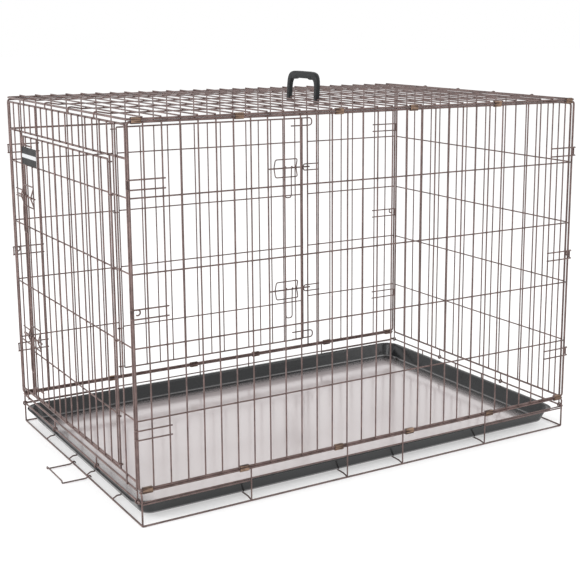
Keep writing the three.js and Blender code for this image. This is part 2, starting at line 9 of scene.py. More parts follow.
import bpy
import numpy as np
from mathutils import Euler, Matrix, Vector


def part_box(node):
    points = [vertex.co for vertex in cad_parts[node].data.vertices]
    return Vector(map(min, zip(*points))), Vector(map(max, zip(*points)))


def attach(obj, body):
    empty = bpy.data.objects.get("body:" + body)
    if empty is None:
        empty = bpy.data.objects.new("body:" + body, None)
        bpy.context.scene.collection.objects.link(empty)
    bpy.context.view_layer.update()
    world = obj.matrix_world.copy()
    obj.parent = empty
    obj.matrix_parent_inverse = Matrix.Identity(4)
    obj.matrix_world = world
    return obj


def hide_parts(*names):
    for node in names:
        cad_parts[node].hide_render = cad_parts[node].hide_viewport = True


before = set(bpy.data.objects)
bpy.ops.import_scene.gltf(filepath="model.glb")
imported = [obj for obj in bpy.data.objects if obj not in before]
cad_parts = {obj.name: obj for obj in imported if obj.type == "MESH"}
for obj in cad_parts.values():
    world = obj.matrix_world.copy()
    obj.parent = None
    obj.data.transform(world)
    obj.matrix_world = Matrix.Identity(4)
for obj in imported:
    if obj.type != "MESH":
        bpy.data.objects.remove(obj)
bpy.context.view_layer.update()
rng = np.random.default_rng(7)

# ---- Sizes, in millimetres ----

near_low, near_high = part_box("near_side_panel")
tray_low, tray_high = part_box("tray")
base_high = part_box("base_frame")[1]
lid_low, lid_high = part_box("top_panel")

FRAME_R = 2.5  # radius of the frame wires
FIELD_R = 1.7  # radius of the mesh wires
HINGE_R = 2.2
DOORWAY_R = 2.2
DOORWAY_RAIL_R = 2.35
DOOR_HINGE_R = 2.1  # the wire a door hangs on
BOLT_R = 2.2
CURL_R = 1.9
POST_R = 2.1  # the base's corner posts
EYE_R = 1.4
FRAME_BEND = 7.0
HALF_L = (lid_high.x - lid_low.x) * 500 - FRAME_R
HALF_W = (lid_high.y - lid_low.y) * 500 - FRAME_R
SHIFT = np.array([(near_low.x + near_high.x) * 500, near_high.y * 1000 + HALF_W - FRAME_R, 0.0])
BASE_RAIL = base_high.z * 1000 - FRAME_R
SIDE_BOTTOM = near_low.z * 1000 + FRAME_R
SIDE_TOP = near_high.z * 1000 - FRAME_R
LID_RAIL = lid_low.z * 1000 + FRAME_R
BASE_MEET = (near_low.z - base_high.z) * 500  # brings a side's rail and the base's together
LID_MEET = (lid_low.z - near_high.z) * 900  # the lid's rail stays where it turns
SIDE_PITCH = 39.74
END_PITCH = 41.3
SIDE_GRID = np.arange(-14, 15) * SIDE_PITCH
END_GRID = np.arange(-8, 9) * END_PITCH
ROWS = (LID_RAIL + SIDE_TOP + SIDE_BOTTOM + BASE_RAIL) / 4 + (np.arange(4) - 1.5) * 153.6
END_HALF = HALF_W - 10
END_TOP, END_BOTTOM, HINGE_Z = 838.0, 78.6, 55.0
OPENING_TOP, OPENING_BOTTOM = 771.0, 97.0
DOOR_TOP, DOOR_BOTTOM = 761.0, 103.0
SIDE_HINGE, END_HINGE = 8 * SIDE_PITCH, 7 * END_PITCH
EDGE_GAP = 18.0
SIDE_FREE, END_FREE = EDGE_GAP - 7 * SIDE_PITCH, -278.0
DOOR_ROWS = ROWS - np.array([12.0, 0, 0, 0])  # a door's lowest row hangs below its panel's
DOOR_INSET = 12.0  # from the hinge wire to the door's first upright
DOOR_MARGIN = 9.0  # no upright of a door is nearer its edges
DOOR_EYE_STEP = 4.6  # from a door's cross wire to the eye at its end
DOOR_EYE_INNER = 2.9
DOOR_EYE_REACH = 4.3  # from the hinge wire to where an eye's stem ends
SIDE_CURL, END_CURL = 36.0, 7.0  # how far a door rail's curl stands past the free edge
CURL_LENGTH, CURL_DROP = 70.0, 21.5
SIDE_BOLT_Z, END_BOLT_Z = (618.0, 256.0), (619.0, 264.0)
BOLT_TIP = 32.0  # past the door's free edge
BOLT_LENGTH = 136.0
BOLT_LOOP = (59.5, 80.5, 88.0)  # the finger loop's two sides, from the tip, and its length
GUIDE = (12.0, 85.0, 26.0)  # from the free edge to its near and far sides, and half its height
KEEPER = (5.0, 60.0, 9.0)  # start and end past the free edge, and half its height
ROW_LAYER = 0.7  # the rows touch the uprights outside them
OUTER = 3.8  # layer of the uprights
TRIM = 6.9  # layer of what is welded outside the uprights
BOLT_LAYER = 11.1
GUIDE_PEAK = BOLT_LAYER + 4.2
KEEPER_LAYER = OUTER + 0.5
CURL_LAYER = OUTER + 0.9
UPRIGHT_OVER = 1.5  # how far an upright passes its end welds
BASE_X, BASE_Y = HALF_L - 4, HALF_W + 3.6
UPPER_RAIL = 53.0
CROSS_X = (78, 328)
RUNNER_Y = (-222, -60, 60, 222)
HINGE_LEG = 140  # from an end panel's middle to each inner hinge leg
LEG_PLAY = 0.8
END_BAY = 31.6  # from a long side's last upright to its end
HOOK_Z = (720.0, 458.0, 203.0)
HOOK_HALF = 10
HOOK_ROOT = HALF_L - END_BAY - SIDE_PITCH - 5  # where a hook's ends are welded
HOOK_NOSE = HALF_L + 5.2
CLIP_X = (99.35, 342.96, HALF_L - 18.3)
CLIP_HALF = 3.7  # from a rail's middle to the middle of the sheet
CLIP_SHEET = 0.6  # half the sheet's thickness
CLIP_LIP = 2.2  # how far a clip's edges turn back, and the radius of its bends
BASE_CLIP_LENGTH, TOP_CLIP_LENGTH = 22, 20


# ---- Paths ----

def unit(v):
    """Each vector divided by its length."""
    return v / np.maximum(np.linalg.norm(v, axis=-1, keepdims=True), 1e-9)


def bent(points, radius, steps=5, closed=False):
    """A path with its corners turned into bends.

    At a corner P with unit vectors a back and b ahead, the bend is P + d (1 - t)^2 a + d t^2 b for t
    from 0 to 1. d is the radius over the tangent of half the corner's angle, and at most 0.48 of the
    shorter side.
    """
    p = np.asarray(points, float)
    ring = np.concatenate([p[-1:], p, p[:1]]) if closed else p
    corner, back, ahead = ring[1:-1], ring[:-2] - ring[1:-1], ring[2:] - ring[1:-1]
    room = 0.48 * np.minimum(np.linalg.norm(back, axis=1), np.linalg.norm(ahead, axis=1))
    a, b = unit(back), unit(ahead)
    cosine = np.clip((a * b).sum(1), -0.9999, 0.9999)
    d = np.minimum(radius / np.tan(np.arccos(cosine) / 2), room)[:, None, None]
    t = np.linspace(0, 1, steps)[None, :, None]
    curve = corner[:, None] + d * ((1 - t) ** 2 * a[:, None] + t ** 2 * b[:, None])
    curve = curve.reshape(-1, 3)
    return curve if closed else np.concatenate([p[:1], curve, p[-1:]])


def ring_path(centre, radius, axis, count=14, start=0.0, turn=1.0):
    """Points of a circle, or part of one, round an axis: centre + radius (cos, sin) in the other two."""
    angle = (np.arange(count) / (count if turn == 1 else count - 1) * turn + start) * 2 * np.pi
    one, two = {"x": (1, 2), "y": (2, 0), "z": (0, 1)}[axis]
    path = np.tile(np.asarray(centre, float), (count, 1))
    path[:, one] += radius * np.cos(angle)
    path[:, two] += radius * np.sin(angle)
    return path


# ---- Wires ----

def tube(path, radius, closed=False, sides=10):
    """Skin of a wire: at each point of the path a circle, point + r (cos a, sin a) across the wire.

    radius is one number or one per point. An open wire's ends are drawn in a little and closed.
    """
    path = np.asarray(path, float)
    radii = np.broadcast_to(np.asarray(radius, float), len(path)).copy()
    if not closed:
        first, last = unit(path[1] - path[0]), unit(path[-1] - path[-2])
        nib = 0.4 * radii[[0, -1]]
        path = np.concatenate([path[:1], path[:1] + first * nib[0], path[1:-1],
                               path[-1:] - last * nib[1], path[-1:]])
        radii = np.concatenate([radii[:1] * 0.6, radii[:1], radii[1:-1], radii[-1:], radii[-1:] * 0.6])
        ahead = np.gradient(path, axis=0)
    else:
        ahead = np.roll(path, -1, 0) - np.roll(path, 1, 0)
    ahead = unit(ahead)
    side = unit(np.cross(ahead, np.array([0.36, 0.48, 0.8])))
    over = np.cross(ahead, side)
    angle = np.arange(sides) / sides * 2 * np.pi
    skin = path[:, None] + radii[:, None, None] * (
        np.cos(angle)[None, :, None] * side[:, None] + np.sin(angle)[None, :, None] * over[:, None])
    rings = len(path)
    i = np.arange(rings if closed else rings - 1)[:, None]
    j = np.arange(sides)[None, :]
    k = (i + 1) % rings
    quads = np.stack([i * sides + j, i * sides + (j + 1) % sides,
                      k * sides + (j + 1) % sides, k * sides + j], -1).reshape(-1, 4)
    caps = [] if closed else [np.arange(sides)[::-1], (rings - 1) * sides + np.arange(sides)]
    return skin.reshape(-1, 3), quads, caps


def straight(a, b, radius, welds=(), wave=0.25):
    """A drawn wire from a to b: a straight path with slow waves, and a swelling at each weld.

    The wave is a sum of two sines across the wire, nought at both ends. At a distance d from a weld
    the radius grows by 16 percent times exp(-(d / 2 mm)^2).
    """
    a, b = np.asarray(a, float), np.asarray(b, float)
    length = np.linalg.norm(b - a)
    marks = np.asarray(welds, float).reshape(-1)
    near = (marks[:, None] + np.array([-4.0, -2.2, -0.8, 0.8, 2.2, 4.0])[None]).reshape(-1)
    even = np.linspace(0, length, max(2, int(length / 75) + 1))
    if len(marks):
        even = even[np.abs(even[:, None] - marks[None]).min(1) > 5]
        even = np.unique(np.concatenate([[0, length], even]))
    s = np.sort(np.concatenate([even, near[(near > 0.5) & (near < length - 0.5)]]))
    along = (b - a) / length
    one = unit(np.cross(along, [0.36, 0.48, 0.8]))
    two = np.cross(along, one)
    phase = rng.uniform(0, 2 * np.pi, 4)
    ends = np.sin(np.pi * s / length)
    sway = wave * min(1.0, length / 400) * ends
    path = (a + s[:, None] * along
            + (sway * np.sin(s / 95 + phase[0]) + 0.4 * sway * np.sin(s / 37 + phase[1]))[:, None] * one
            + (sway * np.sin(s / 110 + phase[2]) + 0.4 * sway * np.sin(s / 41 + phase[3]))[:, None] * two)
    swell = np.exp(-((s[:, None] - marks[None]) / 2.0) ** 2).sum(1) if len(marks) else 0 * s
    return tube(path, radius * (1 + 0.16 * np.minimum(swell, 1)))


def loop(points, radius, bend, closed=False):
    """A wire bent through the given points."""
    return tube(bent(points, bend, closed=closed), radius, closed)


def eye(centre, inner):
    """A wire wound once round an upright: a ring whose middle is one wire radius outside the hole."""
    return tube(ring_path(centre, inner + EYE_R, "y"), EYE_R, closed=True, sides=8)


def rounded_rings(half_one, half_two, inset, corner, steps):
    """Both coordinates of rounded rectangles about the origin, one ring for each inset.

    At angle a a ring of corner radius r is its corner's centre plus r (cos a, sin a). Each corner
    takes a quarter of the angles.
    """
    quarter = np.repeat(np.arange(4), steps)
    angle = (quarter * 90 + np.tile(np.linspace(0, 90, steps), 4))[None, :] * np.pi / 180
    sign_one = np.array([1, -1, -1, 1])[quarter][None, :]
    sign_two = np.array([1, 1, -1, -1])[quarter][None, :]
    return (sign_one * (half_one - inset - corner) + corner * np.cos(angle),
            sign_two * (half_two - inset - corner) + corner * np.sin(angle))


# ---- Panels stand in the crate: u along, v up, w outward ----

FACES = {
    "near": ((0, -HALF_W), (1, 0), (0, -1)),
    "far": ((0, HALF_W), (-1, 0), (0, 1)),
    "left": ((-HALF_L, 0), (0, -1), (-1, 0)),
    "right": ((HALF_L, 0), (0, 1), (1, 0)),
}


def stand(parts, face):
    """Moves shapes from a panel's (u, v, w) to the crate: origin + u along + w outward, at height v."""
    origin, along, outward = (np.array(x, float) for x in FACES[face])
    done = []
    for skin, quads, caps in parts:
        flat = origin + skin[:, :1] * along + skin[:, 2:] * outward
        done.append((np.column_stack([flat, skin[:, 1]]), quads, caps))
    return done


def place(name, parts, body, replaced, material, smooth=True):
    """One mesh object from shapes in millimetres: moved to the frame, in metres, riding on a body."""
    faces, skins, count = [], [], 0
    for skin, quads, caps in parts:
        skins.append(skin)
        faces.extend((np.asarray(quads) + count).tolist())
        faces.extend((np.asarray(cap) + count).tolist() for cap in caps)
        count += len(skin)
    mesh = bpy.data.meshes.new(name)
    mesh.from_pydata(((np.concatenate(skins) + SHIFT) / 1000).tolist(), [], faces)
    mesh.validate()
    mesh.polygons.foreach_set("use_smooth", [smooth] * len(mesh.polygons))
    mesh.update()
    piece = bpy.data.objects.new(name, mesh)
    bpy.context.scene.collection.objects.link(piece)
    mesh.materials.append(material)
    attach(piece, body)
    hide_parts(*replaced)
    return piece


# ---- Shader groups ----

def new_group(name, inputs, outputs):
    """An empty node group with named inputs (name, kind, value) and outputs (name, kind)."""
    group = bpy.data.node_groups.new(name, "ShaderNodeTree")
    for label, kind, value in inputs:
        socket = group.interface.new_socket(label, in_out="INPUT", socket_type=kind)
        socket.default_value = value
    for label, kind in outputs:
        group.interface.new_socket(label, in_out="OUTPUT", socket_type=kind)
    return group, group.nodes.new("NodeGroupInput"), group.nodes.new("NodeGroupOutput")


def noise(tree, vector, scale, detail=2.0, rough=0.5):
    """A noise texture node on the given coordinates."""
    node = tree.nodes.new("ShaderNodeTexNoise")
    node.inputs["Scale"].default_value = scale
    node.inputs["Detail"].default_value = detail
    node.inputs["Roughness"].default_value = rough
    tree.links.new(vector, node.inputs["Vector"])
    return node


def spread(tree, value, low, high, to_low=0.0, to_high=1.0):
    """A clamped Map Range from low..high to to_low..to_high."""
    node = tree.nodes.new("ShaderNodeMapRange")
    for i, x in enumerate((low, high, to_low, to_high), 1):
        node.inputs[i].default_value = x
    tree.links.new(value, node.inputs[0])
    return node.outputs[0]


def hammered_group():
    """Hammered coating: rounded cells as height, and a patchy mask of where the coat is thin."""
    group, inward, outward = new_group(
        "Hammered coat", [("Cells per metre", "NodeSocketFloat", 420.0)],
        [("Height", "NodeSocketFloat"), ("Patches", "NodeSocketFloat")])
    here = group.nodes.new("ShaderNodeTexCoord").outputs["Object"]
    cells = group.nodes.new("ShaderNodeTexVoronoi")
    cells.feature = "SMOOTH_F1"
    group.links.new(here, cells.inputs["Vector"])
    group.links.new(inward.outputs["Cells per metre"], cells.inputs["Scale"])
    group.links.new(spread(group, cells.outputs["Distance"], 0.1, 0.7), outward.inputs["Height"])
    patches = noise(group, here, 38.0, 4.0, 0.65)
    group.links.new(spread(group, patches.outputs["Fac"], 0.36, 0.66), outward.inputs["Patches"])
    return group


def handling_group():
    """Dust and handling: a soft cloudy mask, and fine grain as height."""
    group, inward, outward = new_group(
        "Dust and handling",
        [("Cloud scale", "NodeSocketFloat", 6.0), ("Grain scale", "NodeSocketFloat", 900.0)],
        [("Cloud", "NodeSocketFloat"), ("Grain", "NodeSocketFloat")])
    here = group.nodes.new("ShaderNodeTexCoord").outputs["Object"]
    cloud = noise(group, here, 6.0, 5.0, 0.6)
    group.links.new(inward.outputs["Cloud scale"], cloud.inputs["Scale"])
    group.links.new(spread(group, cloud.outputs["Fac"], 0.35, 0.7), outward.inputs["Cloud"])
    grain = noise(group, here, 900.0, 2.0, 0.5)
    group.links.new(inward.outputs["Grain scale"], grain.inputs["Scale"])
    group.links.new(grain.outputs["Fac"], outward.inputs["Grain"])
    return group


HAMMERED = hammered_group()
HANDLING = handling_group()


def new_material(name):
    """A material with its tree, its Principled shader and a way to add group nodes."""
    material = bpy.data.materials.new(name)
    material.use_nodes = True
    tree = material.node_tree
    return material, tree, tree.nodes["Principled BSDF"]


def use_group(tree, group, **values):
    """Places a node group in a material with its own values."""
    node = tree.nodes.new("ShaderNodeGroup")
    node.node_tree = group
    for label, value in values.items():
        node.inputs[label.replace("_", " ")].default_value = value
    return node


def mix_colours(tree, factor, low, high):
    """Colour from low to high by a 0 to 1 factor."""
    node = tree.nodes.new("ShaderNodeMix")
    node.data_type = "RGBA"
    node.inputs["A"].default_value = (*low, 1)
    node.inputs["B"].default_value = (*high, 1)
    tree.links.new(factor, node.inputs["Factor"])
    return node.outputs["Result"]


def bump(tree, height, strength, distance):
    """A Bump node that feeds the shader's Normal."""
    node = tree.nodes.new("ShaderNodeBump")
    node.inputs["Strength"].default_value = strength
    node.inputs["Distance"].default_value = distance
    tree.links.new(height, node.inputs["Height"])
    return node.outputs["Normal"]


def bronze_coat():
    """Bronze-brown hammered coating on wire: brown, a little metallic, semi-gloss."""
    material, tree, shader = new_material("Bronze hammered wire")
    coat = use_group(tree, HAMMERED, Cells_per_metre=420.0)
    tree.links.new(mix_colours(tree, coat.outputs["Patches"], (0.085, 0.052, 0.047), (0.17, 0.112, 0.103)),
                   shader.inputs["Base Color"])
    tree.links.new(spread(tree, coat.outputs["Patches"], 0, 1, 0.34, 0.46), shader.inputs["Roughness"])
    tree.links.new(bump(tree, coat.outputs["Height"], 0.35, 0.0004), shader.inputs["Normal"])
    shader.inputs["Metallic"].default_value = 0.35
    shader.inputs["Specular IOR Level"].default_value = 0.55
    return material


def clip_metal():
    """Folded clip: brassy bronze sheet with long rolled streaks, rubbed on its faces."""
    material, tree, shader = new_material("Clip bronze sheet")
    wear = use_group(tree, HANDLING, Cloud_scale=60.0, Grain_scale=1500.0)
    stretch = tree.nodes.new("ShaderNodeMapping")
    stretch.inputs["Scale"].default_value = (30, 30, 420)
    tree.links.new(tree.nodes.new("ShaderNodeTexCoord").outputs["Object"], stretch.inputs["Vector"])
    streaks = noise(tree, stretch.outputs["Vector"], 1.0, 2.0, 0.5)
    share = tree.nodes.new("ShaderNodeMath")
    share.operation = "MULTIPLY"
    tree.links.new(spread(tree, streaks.outputs["Fac"], 0.4, 0.6), share.inputs[0])
    tree.links.new(spread(tree, wear.outputs["Cloud"], 0, 1, 0.35, 1), share.inputs[1])
    tree.links.new(mix_colours(tree, share.outputs[0], (0.05, 0.032, 0.027), (0.40, 0.265, 0.185)),
                   shader.inputs["Base Color"])
    tree.links.new(spread(tree, wear.outputs["Cloud"], 0, 1, 0.5, 0.28), shader.inputs["Roughness"])
    tree.links.new(bump(tree, wear.outputs["Grain"], 0.15, 0.0002), shader.inputs["Normal"])
    shader.inputs["Metallic"].default_value = 0.8
    return material


def pan_plastic():
    """Black pan: satin near-black walls, and a glossy floor painted pale grey as a painted reflection that
    fades into black towards the floor's edges.
    """
    material, tree, shader = new_material("Glossy black pan with painted floor reflection")
    marks = use_group(tree, HANDLING, Cloud_scale=5.0, Grain_scale=700.0)
    here = tree.nodes.new("ShaderNodeTexCoord").outputs["Object"]
    centred = tree.nodes.new("ShaderNodeMapping")
    centred.inputs["Location"].default_value = (
        -(tray_low.x + tray_high.x) / 2, -(tray_low.y + tray_high.y) / 2, -tray_low.z)
    tree.links.new(here, centred.inputs["Vector"])
    split = tree.nodes.new("ShaderNodeSeparateXYZ")
    tree.links.new(centred.outputs["Vector"], split.inputs[0])
    low = spread(tree, split.outputs["Z"], 0.0034, 0.006, 1.0, 0.0)
    # painted reflection mask: 1 on the pan's floor, fading to 0 between 82 and 36 mm from its edges, and 0 up
    # the walls
    floor = low
    for axis, half in (("X", (tray_high.x - tray_low.x) / 2), ("Y", (tray_high.y - tray_low.y) / 2)):
        away = tree.nodes.new("ShaderNodeMath")
        away.operation = "ABSOLUTE"
        tree.links.new(split.outputs[axis], away.inputs[0])
        both = tree.nodes.new("ShaderNodeMath")
        both.operation = "MULTIPLY"
        tree.links.new(floor, both.inputs[0])
        tree.links.new(spread(tree, away.outputs[0], half - 0.082, half - 0.036, 1.0, 0.0), both.inputs[1])
        floor = both.outputs[0]
    # painted reflection: a pale grey base colour on the floor of a black pan, near-black on the walls
    tree.links.new(mix_colours(tree, floor, (0.012, 0.013, 0.014), (0.43, 0.405, 0.405)),
                   shader.inputs["Base Color"])
    tree.links.new(spread(tree, marks.outputs["Cloud"], 0, 1, 0.14, 0.22), shader.inputs["Roughness"])
    waves = noise(tree, here, 7.0, 1.5, 0.4)
    tree.links.new(bump(tree, waves.outputs["Fac"], 0.1, 0.004), shader.inputs["Normal"])
    tree.links.new(low, shader.inputs["Coat Weight"])
    shader.inputs["IOR"].default_value = 1.48
    shader.inputs["Coat IOR"].default_value = 2.3
    shader.inputs["Coat Roughness"].default_value = 0.13
    shader.inputs["Coat Tint"].default_value = (0.98, 0.93, 0.93, 1)
    return material


def grip_plastic():
    """Moulded satin black handle with a fine grain."""
    material, tree, shader = new_material("Satin black grip")
    marks = use_group(tree, HANDLING, Cloud_scale=30.0, Grain_scale=1800.0)
    tree.links.new(mix_colours(tree, marks.outputs["Cloud"], (0.004, 0.005, 0.006), (0.010, 0.012, 0.013)),
                   shader.inputs["Base Color"])
    tree.links.new(spread(tree, marks.outputs["Cloud"], 0, 1, 0.36, 0.5), shader.inputs["Roughness"])
    tree.links.new(bump(tree, marks.outputs["Grain"], 0.3, 0.0003), shader.inputs["Normal"])
    shader.inputs["Specular IOR Level"].default_value = 0.3
    return material


def plate_gloss():
    """Blank name plate: satin black with a pale band across its middle, worn a little."""
    material, tree, shader = new_material("Blank plate")
    marks = use_group(tree, HANDLING, Cloud_scale=40.0, Grain_scale=1200.0)
    here = tree.nodes.new("ShaderNodeTexCoord").outputs["Object"]
    split = tree.nodes.new("ShaderNodeSeparateXYZ")
    tree.links.new(here, split.inputs[0])
    low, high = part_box("name_plate")
    middle, half = (low.z + high.z) / 2, (high.z - low.z) / 2
    away = tree.nodes.new("ShaderNodeMath")
    away.operation = "SUBTRACT"
    tree.links.new(split.outputs["Z"], away.inputs[0])
    away.inputs[1].default_value = middle
    height = tree.nodes.new("ShaderNodeMath")
    height.operation = "ABSOLUTE"
    tree.links.new(away.outputs[0], height.inputs[0])
    band = spread(tree, height.outputs[0], 0.19 * half, 0.24 * half, 1.0, 0.0)
    tree.links.new(mix_colours(tree, band, (0.004, 0.004, 0.005), (0.45, 0.46, 0.47)),
                   shader.inputs["Base Color"])
    tree.links.new(spread(tree, marks.outputs["Cloud"], 0, 1, 0.4, 0.55), shader.inputs["Roughness"])
    shader.inputs["Specular IOR Level"].default_value = 0.2
    return material


BRONZE = bronze_coat()
CLIP = clip_metal()
PAN = pan_plastic()
GRIP = grip_plastic()
PLATE = plate_gloss()


# ---- Parts that several panels share ----

def frame_wire(left, right, bottom, top):
    """A panel's edge: one wire bent round a rectangle."""
    return loop([[left, bottom, 0], [right, bottom, 0], [right, top, 0], [left, top, 0]],
                FRAME_R, FRAME_BEND, closed=True)


def upright_wires(places, bottom, top, crossings):
    """Uprights at the given places, welded at each crossing height."""
    foot, head = bottom - UPRIGHT_OVER, top + UPRIGHT_OVER
    marks = np.asarray(crossings, float) - foot
    return [straight([x, foot, OUTER], [x, head, OUTER], FIELD_R, marks) for x in places]


def row_wires(left, right, heights=ROWS):
    """Rows from left to right."""
    return [straight([left, y, ROW_LAYER], [right, y, ROW_LAYER], FIELD_R) for y in heights]


def corner_hook(side, height):
    """The U of wire past a corner that catches the end panel's post: its nose is bent inward."""
    root, nose, inner = side * HOOK_ROOT, side * HOOK_NOSE, 0.5
    low, high = height - HOOK_HALF, height + HOOK_HALF
    return loop([[root, low, TRIM], [nose, low, TRIM], [nose, low, inner],
                 [nose, high, inner], [nose, high, TRIM], [root, high, TRIM]], FIELD_R, 3.2)


def corner_hooks():
    """All six hooks of a long side, and an open ring of wire beside each middle one."""
    ring = ring_path([HALF_L - 7, HOOK_Z[1] + 4, TRIM], 5.8, "z", 12, 0.15, 0.7)
    rings = [tube(np.array([side, 1, 1]) * ring, FIELD_R, sides=8) for side in (-1, 1)]
    return [corner_hook(side, z) for side in (-1, 1) for z in HOOK_Z] + rings


def keeper(free, height):
    """Two short wires either side of a bolt's tip, joined by a bend next to the door."""
    near, far, half = free - KEEPER[0], free - KEEPER[1], KEEPER[2]
    shoulder = near - 4
    path = [[far, -half], [shoulder, -half], [near, 0], [shoulder, half], [far, half]]
    return loop([[x, height + y, KEEPER_LAYER] for x, y in path], FIELD_R, 5)


def doorway_wires(half, hinge, free, bottom, bolts):
    """What a door hangs on and closes against: hinge wire, edge wire, top rail and side rows."""
    edge = free - EDGE_GAP
    return [
        straight([hinge, bottom, 0], [hinge, OPENING_TOP, 0], DOOR_HINGE_R),
        straight([edge, bottom, 0], [edge, OPENING_TOP, 0], DOORWAY_R),
        straight([-half, OPENING_TOP, 0], [half, OPENING_TOP, 0], DOORWAY_RAIL_R),
        *row_wires(hinge, half), *row_wires(-half, edge),
        *(keeper(free, z) for z in bolts),
    ]


# ---- Long sides ----

def side_edge():
    """A long side's edge wire, meeting the base's rail below it and the lid's above it."""
    return frame_wire(-HALF_L, HALF_L, SIDE_BOTTOM - BASE_MEET, SIDE_TOP + LID_MEET)


def near_side():
    """Plain long side: edge wire, rows inside, uprights outside and corner hooks."""
    levels = [SIDE_BOTTOM, *ROWS, SIDE_TOP]
    parts = [side_edge(), *row_wires(-HALF_L, HALF_L),
             *upright_wires(SIDE_GRID, SIDE_BOTTOM, SIDE_TOP, levels), *corner_hooks()]
    return place("near_side_wires", stand(parts, "near"), "shell", ["near_side_panel"], BRONZE)


def far_side():
    """Long side with the doorway."""
    edge = SIDE_FREE - EDGE_GAP
    beyond = SIDE_GRID[(SIDE_GRID > SIDE_HINGE + 1) | (SIDE_GRID < edge - 1)]
    above = SIDE_GRID[(SIDE_GRID <= SIDE_HINGE + 1) & (SIDE_GRID > edge - 1)]
    parts = [side_edge(), *doorway_wires(HALF_L, SIDE_HINGE, SIDE_FREE, SIDE_BOTTOM, SIDE_BOLT_Z),
             *upright_wires(beyond, SIDE_BOTTOM, SIDE_TOP, [SIDE_BOTTOM, *ROWS, OPENING_TOP, SIDE_TOP]),
             *upright_wires(above, OPENING_TOP, SIDE_TOP, [OPENING_TOP, SIDE_TOP]), *corner_hooks()]
    return place("far_side_wires", stand(parts, "far"), "shell", ["far_side_panel"], BRONZE)


# ---- Ends ----

def hinge_legs():
    """Legs under an end panel, each wound once round the base's hinge rail."""
    return [part for u in (-END_HALF, -HINGE_LEG, HINGE_LEG, END_HALF) for part in (
        straight([u, HINGE_Z + HINGE_R + 1.5, 0], [u, END_BOTTOM, 0], FIELD_R),
        tube(ring_path([u, HINGE_Z, 0], HINGE_R + LEG_PLAY + FIELD_R, "x"), FIELD_R, closed=True))]


def right_end():
    """Plain end panel."""
    levels = [END_BOTTOM, *ROWS, END_TOP]
    parts = [frame_wire(-END_HALF, END_HALF, END_BOTTOM, END_TOP), *row_wires(-END_HALF, END_HALF),
             *upright_wires(END_GRID, END_BOTTOM, END_TOP, levels), *hinge_legs()]
    return place("right_end_wires", stand(parts, "right"), "right_end", ["right_end_panel"],
                 BRONZE)


def left_end():
    """End panel with the doorway."""
    edge = END_FREE - EDGE_GAP
    beyond = END_GRID[(END_GRID > END_HINGE + 1) | (END_GRID < edge)]
    above = END_GRID[(END_GRID <= END_HINGE + 1) & (END_GRID > edge)]
    parts = [frame_wire(-END_HALF, END_HALF, END_BOTTOM, END_TOP),
             *doorway_wires(END_HALF, END_HINGE, END_FREE, OPENING_BOTTOM, END_BOLT_Z),
             straight([-END_HALF, OPENING_BOTTOM, 0], [END_HALF, OPENING_BOTTOM, 0], DOORWAY_RAIL_R),
             *upright_wires(beyond, END_BOTTOM, END_TOP, [OPENING_BOTTOM, *ROWS, OPENING_TOP]),
             *upright_wires(above, OPENING_TOP, END_TOP, [OPENING_TOP, END_TOP]), *hinge_legs()]
    return place("left_end_wires", stand(parts, "left"), "left_end", ["left_end_panel"],
                 BRONZE)


# ---- Doors and bolts ----

def bolt_guide(free, height):
    """A rectangle of wire on a door whose two upright sides are bent out and over the bolt."""
    near, far, half = free + GUIDE[0], free + GUIDE[1], GUIDE[2]
    return loop([[near, height, GUIDE_PEAK], [near, height + half, TRIM], [far, height + half, TRIM],
                 [far, height, GUIDE_PEAK], [far, height - half, TRIM], [near, height - half, TRIM]],
                FIELD_R, 6, closed=True)


def rail_curl(nose, layer, height, step):
    """A U of wire lying on its side past a door's free edge, with a round nose."""
    end = nose + CURL_LENGTH
    return loop([[end, height, layer], [nose, height, layer], [nose, height + step, layer],
                 [end, height + step, layer]], CURL_R, abs(step) / 2)


def door_wires(grid, hinge, free, bolts, curl, layer):
    """A door: edge wires, rows, uprights, curls on its rails, eyes round the hinge wire and guides."""
    first, nose = hinge - DOOR_INSET, free - curl
    inner = grid[(grid < first - DOOR_MARGIN) & (grid > free + DOOR_MARGIN)]
    levels = [DOOR_BOTTOM + DOOR_EYE_STEP, *(DOOR_ROWS - DOOR_EYE_STEP), DOOR_TOP - DOOR_EYE_STEP]
    parts = [straight([free, DOOR_BOTTOM, 0], [free, DOOR_TOP, 0], FRAME_R),
             straight([first, DOOR_BOTTOM, 0], [first, DOOR_TOP, 0], FIELD_R),
             *(straight([free, z, 0], [first, z, 0], DOORWAY_R) for z in (DOOR_BOTTOM, DOOR_TOP)),
             *upright_wires(inner, DOOR_BOTTOM, DOOR_TOP, [DOOR_BOTTOM, *DOOR_ROWS, DOOR_TOP]),
             *row_wires(free, first, DOOR_ROWS),
             rail_curl(nose, layer, DOOR_TOP, -CURL_DROP), rail_curl(nose, layer, DOOR_BOTTOM, CURL_DROP)]
    for height in levels:
        parts.append(eye([hinge, height, 0], DOOR_EYE_INNER))
        parts.append(straight([first, height, 0], [hinge - DOOR_EYE_REACH, height, 0], EYE_R))
    return parts + [bolt_guide(free, z) for z in bolts]


def bolt_wires(free, height):
    """A slide bolt: the rod, and a long finger loop hooked over it that hangs a little further out."""
    tip, over, out = free - BOLT_TIP, BOLT_LAYER + 3.4, BOLT_LAYER + 4.5
    left, right, foot = tip + BOLT_LOOP[0], tip + BOLT_LOOP[1], height - BOLT_LOOP[2]
    hook = [[0, 3, -1.5], [0, 4.2, 1.5], [0, 0, 3.6]]
    down = [[left + x, height + y, BOLT_LAYER + w] for x, y, w in hook]
    back = [[right + x, height + y, BOLT_LAYER + w] for x, y, w in hook[::-1]]
    rod = straight([tip, height, BOLT_LAYER], [tip + BOLT_LENGTH, height, BOLT_LAYER], BOLT_R, wave=0.05)
    return [rod,
            loop([*down, [left, height - 14, over], [left, height - 28, out], [left, foot, out],
                  [right, foot, out], [right, height - 28, out], [right, height - 14, over], *back],
                 FIELD_R, 9)]


